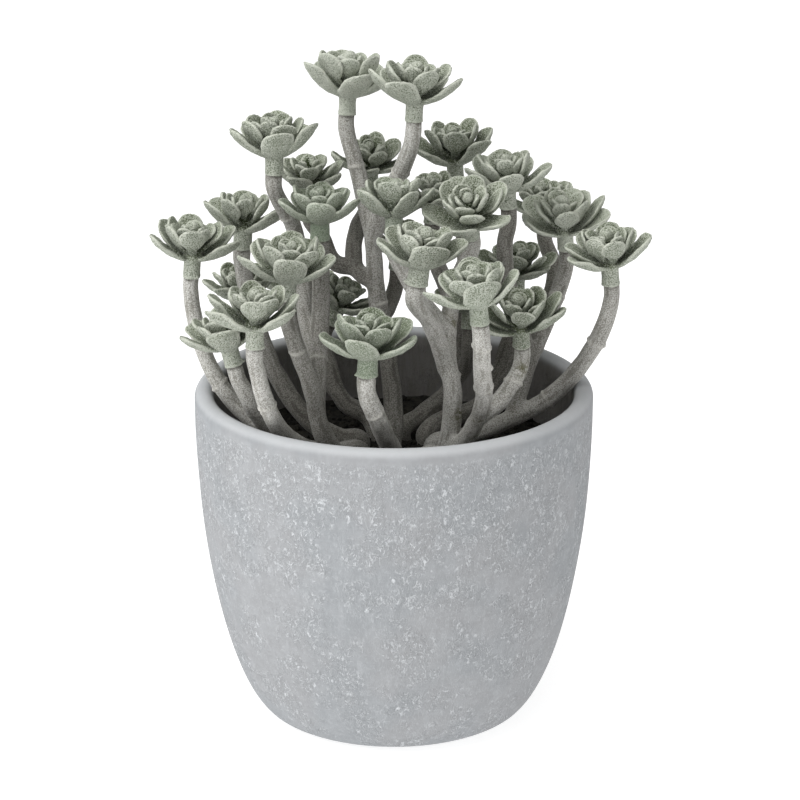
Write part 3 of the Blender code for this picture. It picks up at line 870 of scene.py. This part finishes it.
class Skin:
    """For each point of a clump's skin: the stem that it lies on, where on it, and how clear of others."""

    def __init__(self, points, stems):
        found = [nearest_on_line(points, stem) for stem in stems]
        depth = np.array([apart for apart, _ in found])
        ordered = np.sort(depth, axis=0)
        self.stem = depth.argmin(axis=0)
        self.clear = ordered[1] - ordered[0] if len(stems) > 1 else np.full(len(points), 1e3)
        self.centre = np.zeros_like(points)
        self.out = np.zeros_like(points)
        self.length, self.left, self.turn, self.radius = np.zeros((4, len(points)))
        for number, stem in enumerate(stems):
            mine = self.stem == number
            self.read_stem(points[mine], mine, stem, found[number][1][mine])

    def read_stem(self, points, mine, stem, index):
        """Fills in the values of the points that lie on one stem."""
        along = stem.along[index]
        slide = ((points - stem.line[index]) * along).sum(axis=1)
        slide = np.clip(slide, -STEM_SPACING, STEM_SPACING)
        centre = stem.line[index] + along * slide[:, None]
        out = points - centre
        out /= np.maximum(np.linalg.norm(out, axis=1), 1e-6)[:, None]
        self.length[mine] = stem.length[index] + slide
        self.left[mine] = stem.length[-1] - self.length[mine]
        self.centre[mine] = centre
        self.out[mine] = out
        self.turn[mine] = np.arctan2((out * stem.across[index]).sum(axis=1),
                                     (out * stem.side[index]).sum(axis=1))
        self.radius[mine] = stem.radius[index]

    def from_end(self):
        """How far along the stem each point is from the nearer end."""
        return np.minimum(self.length, self.left)


def ring_relief(skin, number, stem):
    """Raised rings round one stem: their height and how pale they are, for every point."""
    mine = skin.stem == number
    draw = random.Random(RING_SEED + stem.number)
    height, pale = np.zeros((2, len(skin.length)))
    for level in RINGS.get(stem.number, ()):
        middle = stem.at_height(level)
        lean = draw.uniform(0.3, 0.9)
        phase = draw.uniform(0, 2 * pi)
        offset = skin.length - middle + lean * np.sin(skin.turn + phase)
        strength = 0.65 + 0.35 * np.sin(2 * skin.turn + phase * 2)
        ridge = np.exp(-(offset / 0.62) ** 2) * strength
        step = 0.14 * smoothstep(-0.8, 0.8, offset) * np.exp(-(offset / 6) ** 2)
        height += mine * (0.55 * ridge + step)
        pale += mine * ridge
    return height, pale


def spots(skin, stems, wanted, size):
    """How near each point is to the wanted spots, from 0 to 1, which are given by height and direction."""
    near = np.zeros(len(skin.length))
    for number, stem in enumerate(stems):
        for head, level, direction in wanted:
            if head != stem.number:
                continue
            middle = stem.at_height(level)
            way = np.array([cos(radians(direction)), sin(radians(direction)), 0])
            around = np.arccos(np.clip(skin.out @ way, -1, 1)) * skin.radius
            apart = np.hypot(skin.length - middle, around)
            near = np.maximum(near, (skin.stem == number) * np.exp(-(apart / size) ** 2))
    return near


def fused_skin(name, stems):
    """The stems as one skin, smooth where they fork and round again where each one is alone."""
    form = Form()
    for stem in stems:
        form.add(*stem.tube())
    mesh = fuse(form.mesh(name), STEM_VOXEL)
    points = read_points(mesh)
    edges = np.zeros(len(mesh.edges) * 2, int)
    mesh.edges.foreach_get("vertices", edges)
    edges = edges.reshape(-1, 2)
    joined = 1 - smoothstep(0.5, 4.5, Skin(points, stems).clear)
    points = smoothed(points, edges, STEM_SMOOTHING, 0.15 + 0.4 * joined)
    skin = Skin(points, stems)
    lone = smoothstep(0.3, 4.0, skin.clear) * smoothstep(0.5, 2.0, skin.from_end())
    points += (skin.centre + skin.out * skin.radius[:, None] - points) * lone[:, None]
    return mesh, points, edges, skin


def stem_shade_and_tone(points, edges, skin, stems):
    """How far the flock is painted darker and browner, from 0 to 1: painted shade low down between the
    stems, and along the stems in STEM_SHADES painted shade together with their own darker tone.
    """
    across, depth, height = points.T
    low = 1 - smoothstep(*SHADE_HEIGHTS, height)
    front = -24 + 20 * smoothstep(-8, 10, across)
    within = smoothstep(*SHADE_DEPTHS, depth - front) * (1 - smoothstep(*SHADE_SIDES, np.abs(across)))
    shades = np.array([STEM_SHADES.get(stem.number, 0.0) for stem in stems])
    shade_and_tone = np.maximum(low * within, shades[skin.stem])
    return smoothed(shade_and_tone[:, None], edges, 40, np.full(len(points), 0.5)).ravel()


def build_clump(name, foot, branches, finish):
    """A clump as one organic skin: fused tubes, then rings, scars, wrinkles and lumps."""
    stems = [Stem(number, foot, fork, bends) for number, fork, bends in branches]
    mesh, points, edges, skin = fused_skin(name, stems)
    rings = [ring_relief(skin, number, stem) for number, stem in enumerate(stems)]
    height = sum(ridge for ridge, _ in rings)
    pale = sum(paler for _, paler in rings)
    scar = spots(skin, stems, SCARS, 1.1)
    worn = spots(skin, stems, WORN, 3.2)
    wrinkle = np.column_stack([3 * np.cos(skin.turn), 3 * np.sin(skin.turn), skin.length * 0.12])
    wrinkles = noise_at(wrinkle, 1.1, 2.0)
    lumps = noise_at(points, 6, 5.0)
    height += scar + 0.15 * wrinkles + 0.22 * lumps - 0.12 * worn
    points += skin.out * (height * smoothstep(0, 2, skin.from_end()))[:, None]

    mesh.vertices.foreach_set("co", (points * MM).ravel())
    set_value(mesh, "ring", np.clip(pale + 0.8 * scar, 0, 1))
    set_value(mesh, "worn", worn)
    broken = smoothstep(-0.5, 0.2, noise_at(points, 3.5, 8.0))
    set_value(mesh, "seam", np.exp(-((skin.left - TIP_DEPTH - 0.4) / 0.5) ** 2) * broken)
    # Painted shade low between the stems and on the stems deep in the plant, with some stems' own darker
    # tone.
    set_value(mesh, "shade_and_tone", stem_shade_and_tone(points, edges, skin, stems))
    set_value(mesh, "streak", smoothstep(0.0, 0.6, -wrinkles))
    mesh.update()
    mesh.shade_smooth()
    place(f"flocked_{name}", mesh, finish, "stem_flock", name)


# Heads

def running_sum(values):
    """The sum up to each point, from 0, of the values half way between the points."""
    return np.concatenate([[0], np.cumsum((values[1:] + values[:-1]) / 2)])


def petal_middle(shape, rows):
    """The middle line at each row: how far out and up from the root it is, and its slope."""
    steps = np.linspace(0, 1, PETAL_STEPS + 1)
    slope = np.radians(shape.rise + shape.curl * steps)
    out = running_sum(np.cos(slope)) * shape.length / PETAL_STEPS
    up = running_sum(np.sin(slope)) * shape.length / PETAL_STEPS
    return np.interp(rows, steps, out), np.interp(rows, steps, up), np.interp(rows, steps, slope)


def petal_outline(shape, rows, draw):
    """Half the width and half the thickness at each row, and how far beyond the widest place the row is."""
    widest = draw.uniform(0.62, 0.7)
    before = np.clip((rows - shape.waist) / (widest - shape.waist), 0, 1)
    beyond = np.clip((rows - widest) / (1 - widest), 0, 1)
    blunt = draw.uniform(2.0, 2.6)
    swelling = shape.base + (1 - shape.base) * (1 - (1 - before) ** 2) ** 0.6
    half_width = shape.width / 2 * (swelling * (1 - beyond ** blunt) ** (1 / 2.1))
    half_thick = shape.thickness / 2 * (1.15 - 0.2 * rows) * (1 - beyond ** 6) ** 0.4
    return half_width, half_thick, beyond


def petal_values(shape, rows, half_width, over, above):
    """What the material reads, from 0 to 1: the rim, a painted sheen, and the upper side and the hollows,
    which are painted darker partly as shade.
    """
    # Painted sheen: a pale band along each petal's edges, from a fifth of the way out.
    edge = half_width[:, None] * (1 - np.abs(over)[None])
    rim = np.exp(-(edge / 0.6) ** 2) * smoothstep(0.2, 0.5, rows)[:, None]
    upper = smoothstep(-0.4, 0.4, above)[None] * np.ones_like(edge)
    hollow = upper * (1 - smoothstep(0.1, 0.95, rows))[:, None] * (1 - 0.4 * np.abs(over)[None])
    # Painted shade: each inner petal's root is dark all round, where the petals about it shade it.
    if shape.waist > 0:
        crevice_shade = 0.7 * (1 - smoothstep(shape.waist * 0.8, shape.waist * 1.5 + 0.01, rows))
        hollow = np.maximum(hollow, crevice_shade[:, None])
    return {"rim": rim.ravel(), "inside": upper.ravel(), "hollow": hollow.ravel()}


def squarer(wave, power):
    """A sine or cosine that is drawn towards its ends by a power below 1."""
    return np.sign(wave) * np.abs(wave) ** power


def petal(shape, draw):
    """One spoon-shaped petal that points along +X, as points and its values for the material.

    Rows run from root to tip, and each goes once round the petal's cross section.
    """
    rows = np.sin(np.linspace(0, pi / 2 * 0.97, PETAL_ROWS))
    out, up, slope = petal_middle(shape, rows)
    half_width, half_thick, beyond = petal_outline(shape, rows, draw)
    turns = round_turns(PETAL_SIDES)
    over = squarer(np.cos(turns), 0.85)
    above = squarer(np.sin(turns), 0.75)
    side = half_width[:, None] * over[None]
    reach = side / (shape.width / 2)
    wave = draw.uniform(0.15, 0.5) * np.sin(rows * draw.uniform(4, 9) + draw.uniform(0, 6))
    roll = tan(radians(draw.uniform(-14, 14)))
    fold = draw.uniform(-0.2, 0.6)
    lift = (shape.cup * np.abs(reach) ** (2 - fold) + wave[:, None] * reach * np.abs(reach)
            + roll * side * rows[:, None] + half_thick[:, None] * above[None])
    lift += draw.uniform(-0.4, 0.7) * beyond[:, None] ** 2
    bend = draw.uniform(-1.2, 1.2) * rows ** 2

    x = shape.root_radius + out[:, None] - np.sin(slope)[:, None] * lift
    z = shape.root_height + up[:, None] + np.cos(slope)[:, None] * lift
    y = side + bend[:, None]
    points = np.stack([x, y, z], axis=-1).reshape(-1, 3)
    fuzz = random.Random(draw.random())
    points += np.array([[fuzz.uniform(-PETAL_FUZZ, PETAL_FUZZ) for _ in range(3)] for _ in points])
    return points, petal_values(shape, rows, half_width, over, above)


def turned_about_z(points, degrees):
    turn = radians(degrees)
    rotation = np.array([[cos(turn), -sin(turn), 0], [sin(turn), cos(turn), 0], [0, 0, 1]])
    return points @ rotation.T


def build_collar(form, draw, girth, green):
    """The sleeve below the petals, its lip a little uneven, and the body that the petals grow from."""
    points, faces = turned(COLLAR_OUTLINE, COLLAR_SIDES)
    sleeve = 1 - smoothstep(5.0, 8.5, points[:, 2])
    points[:, :2] *= (1 + (girth / COLLAR_OUTLINE_RADIUS - 1) * sleeve)[:, None]
    turn = np.arctan2(points[:, 1], points[:, 0])
    height = points[:, 2]
    lip = np.exp(-((height - 0.3) / 0.8) ** 2)
    uneven = 0.16 * noise_at(points, 2.2, draw.uniform(0, 90))
    uneven += 0.1 * noise_at(points, 0.9, draw.uniform(0, 90))
    nub_turn = draw.uniform(-pi, pi)
    nub_apart = np.abs((turn - nub_turn + pi) % (2 * pi) - pi) * 3.8
    nub = draw.choice((0.0, 0.7, 1.3)) * np.exp(-(nub_apart / 0.6) ** 2 - ((height - 0.5) / 0.6) ** 2)
    reach = np.linalg.norm(points[:, :2], axis=1)
    outer = smoothstep(0.91, 0.97, reach / girth) * (height < 12)
    points[:, :2] *= ((reach + outer * (uneven * (0.5 + lip) + nub - 0.15 * lip)) / reach)[:, None]
    points[:, 2] += outer * lip * 0.28 * noise_at(points, 3.0, draw.uniform(0, 90))
    below = 1 - smoothstep(6.0, 8.0, height)
    # The collar's top, where the petals grow, is painted dark as shade, and its lip is painted paler as a
    # highlight.
    form.add(points, faces, rim=0.6 * np.exp(-((height - 0.4) / 0.35) ** 2), inside=1 - below,
             hollow=smoothstep(7.5, 10, height), collar=below, green=green * below)


def layer_turns(number, index, draw):
    """For each petal of a layer: its way before the head is turned, and how much steeper it stands."""
    if number in PETAL_TURNS and index < len(PETAL_TURNS[number]):
        return [(turn - HEADS[number].first_turn, lift) for turn, lift in PETAL_TURNS[number][index]]
    count = LAYER_PETALS[index]
    spread = 6 if index == 0 else 13
    return [(360 / count * (step + 0.5 * (index % 2)) + draw.uniform(-spread, spread),
             draw.uniform(-spread, spread) * 0.7) for step in range(count)]


def build_knob(form, scale, draw, green):
    """The closed bud in the middle: a dented ball, leaning a little."""
    ball, faces = ball_template(3)
    dents = 1 + 0.22 * noise_at(ball, 0.9, draw.uniform(0, 90))
    points = ball * dents[:, None] * [1, 1, KNOB_STRETCH] * KNOB_RADIUS * scale * draw.uniform(0.85, 1.15)
    tilt = np.array(Euler([radians(draw.uniform(-20, 20)) for _ in range(3)]).to_matrix())
    height = STACK_FOOT + (KNOB_HEIGHT - STACK_FOOT) * scale
    form.add(points @ tilt.T + [draw.uniform(-0.6, 0.6), draw.uniform(-0.6, 0.6), height], faces,
             rim=0.25, inside=0.4, hollow=0.0, collar=0.0, green=green)


def own_shape(layer, scale, lift, draw, shape_draw):
    """The shape of one petal of a layer, a little different from its neighbours."""
    steep = max(0, lift - STEEP_LIFT)
    return layer._replace(
        root_height=STACK_FOOT + (layer.root_height - STACK_FOOT) * scale,
        length=layer.length * scale * draw.uniform(0.94, 1.03) * (1 - STEEP_CHANGE * steep),
        width=layer.width * scale * shape_draw.uniform(0.92, 1.06) * (1 + STEEP_CHANGE * steep),
        rise=layer.rise + lift,
        curl=layer.curl + shape_draw.uniform(-6, 8),
        cup=layer.cup * scale * shape_draw.uniform(0.7, 1.3),
        base=layer.base + STEEP_WAIST * steep,
    )


def build_head(number, finish):
    """A rosette: the collar, four layers of petals and a round knob."""
    head = HEADS[number]
    scale = head.width / ROSETTE_WIDTH
    draw = random.Random(ROSETTE_SEED + number)
    shape_draw = random.Random(SHAPE_SEED + number)
    green = GREENNESS.get(number, USUAL_GREENNESS)
    faces = grid_faces(PETAL_ROWS, PETAL_SIDES)
    form = Form()
    build_collar(form, shape_draw, tip_radius(number) + COLLAR_MARGIN, green)
    petal_green = PETAL_GREENNESS * green
    for index, layer in enumerate(PETAL_LAYERS):
        for turn, lift in layer_turns(number, index, draw):
            points, values = petal(own_shape(layer, scale, lift, draw, shape_draw), shape_draw)
            form.add(turned_about_z(points, turn), faces, **values, collar=0.0, green=petal_green)
    build_knob(form, scale, shape_draw, petal_green)
    node = f"rosette_{number:02d}"
    mesh = form.mesh(f"flocked_{node}")
    # Each head's own flock tone, with painted light on a head that lies in others' shadow.
    set_value(mesh, "bare_and_painted_light", np.full(form.count, BARENESS_AND_PAINTED_LIGHT.get(number, 0.0)))
    upright = Euler((0, 0, radians(head.first_turn))).to_quaternion()
    placing = (Vector((0, 0, 1)).rotation_difference(head_axis(number)) @ upright).to_matrix().to_4x4()
    placing.translation = Vector(head.seam) * MM
    mesh.transform(placing)
    place(f"flocked_{node}", mesh, finish, "petal_flock", node)


# Studio

def build_camera():
    camera = put("camera", bpy.data.cameras.new("camera"))
    elevation = radians(CAMERA_ELEVATION)
    back = Vector((0, -cos(elevation), sin(elevation)))
    camera.location = (Vector(CAMERA_TARGET) + back * CAMERA_DISTANCE) * MM
    camera.rotation_euler = (pi / 2 - elevation, 0, 0)
    camera.data.lens = CAMERA_LENS
    bpy.context.scene.camera = camera


def build_floor():
    """A large white floor, lit a little from within as a light table is."""
    made, tree, shader = new_material("white floor", 1.0, 0.0)
    set_inputs(tree, shader, {
        "Base Color": (FLOOR_GREY, FLOOR_GREY, FLOOR_GREY, 1),
        "Emission Color": (1, 1, 1, 1), "Emission Strength": FLOOR_GLOW,
    })
    reach = FLOOR_REACH_M
    mesh = bpy.data.meshes.new("floor")
    mesh.from_pydata([(-reach, -reach, 0), (reach, -reach, 0), (reach, reach, 0), (-reach, reach, 0)], [],
                     [(0, 1, 2, 3)])
    mesh.materials.append(made)
    floor = put("floor", mesh)


def softbox(name, place_at, size, energy):
    """A square light that looks at the plant's middle."""
    light = put(name, bpy.data.lights.new(name, "AREA"))
    light.data.size = size
    light.data.energy = energy
    light.location = place_at
    aim = Vector((0, 0, AIM_HEIGHT_M)) - light.location
    light.rotation_euler = aim.to_track_quat("-Z", "Y").to_euler()


def build_lights():
    world = bpy.data.worlds.new("studio")
    bpy.context.scene.world = world
    world.use_nodes = True
    tree = world.node_tree
    set_inputs(tree, tree.nodes["Background"], {"Color": (1, 1, 1, 1), "Strength": SKY_STRENGTH})
    for light in LIGHTS:
        softbox(*light)


bpy.context.scene.view_settings.view_transform = "Standard"
build_camera()
build_floor()
build_lights()

build_pot(plaster_material())
earth = soil_material()
build_soil(earth)
build_crumbs(earth)
bark = stem_material()
for clump_name, (clump_foot, clump_stems) in CLUMPS.items():
    build_clump(clump_name, clump_foot, clump_stems, bark)
leaf = petal_material()
for head_number in HEADS:
    build_head(head_number, leaf)
